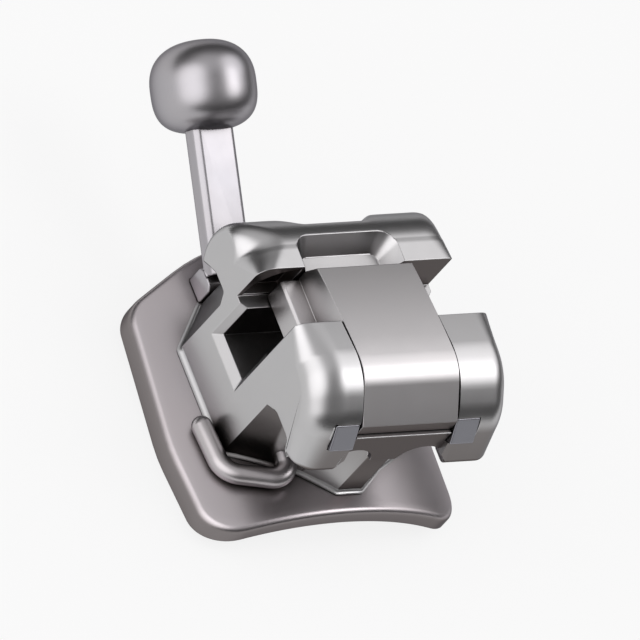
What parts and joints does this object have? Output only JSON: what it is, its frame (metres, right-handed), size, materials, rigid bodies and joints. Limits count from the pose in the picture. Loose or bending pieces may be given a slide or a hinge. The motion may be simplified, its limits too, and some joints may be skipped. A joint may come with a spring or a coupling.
{
  "type": "orthodontic bracket",
  "caption": "Self-ligating orthodontic bracket: curved bonding pad, tie wings, an archwire slot closed by a sliding door, and a ball hook for an elastic.",
  "frame": {"origin": "centre of the bonding pad's hollow back, on its middle facet", "axes": "+X along the archwire slot, +Y up the bracket towards the ball hook, +Z out of the tooth, through the door"},
  "size_m": [0.0034, 0.0052, 0.0025],
  "materials": {
    "bonding_pad": "satin stainless steel",
    "bracket_body": "satin stainless steel",
    "sliding_door": "satin stainless steel",
    "stop_plug_left": "satin stainless steel",
    "stop_plug_right": "satin stainless steel",
    "ball_hook": "polished stainless steel",
    "retaining_wire": "drawn stainless steel wire"
  },
  "bodies": {
    "bracket": {"bonding_pad": "bonding_pad", "bracket_body": "bracket_body", "stop_plug_left": "stop_plug_left", "stop_plug_right": "stop_plug_right", "ball_hook": "ball_hook", "retaining_wire": "retaining_wire"},
    "door": {"sliding_door": "sliding_door"}
  },
  "joints": [
    {"name": "door_slide", "type": "slide", "parent": "bracket", "child": "door", "axis": [0, -1, 0], "range_m": [0, 0.00072]}
  ]
}
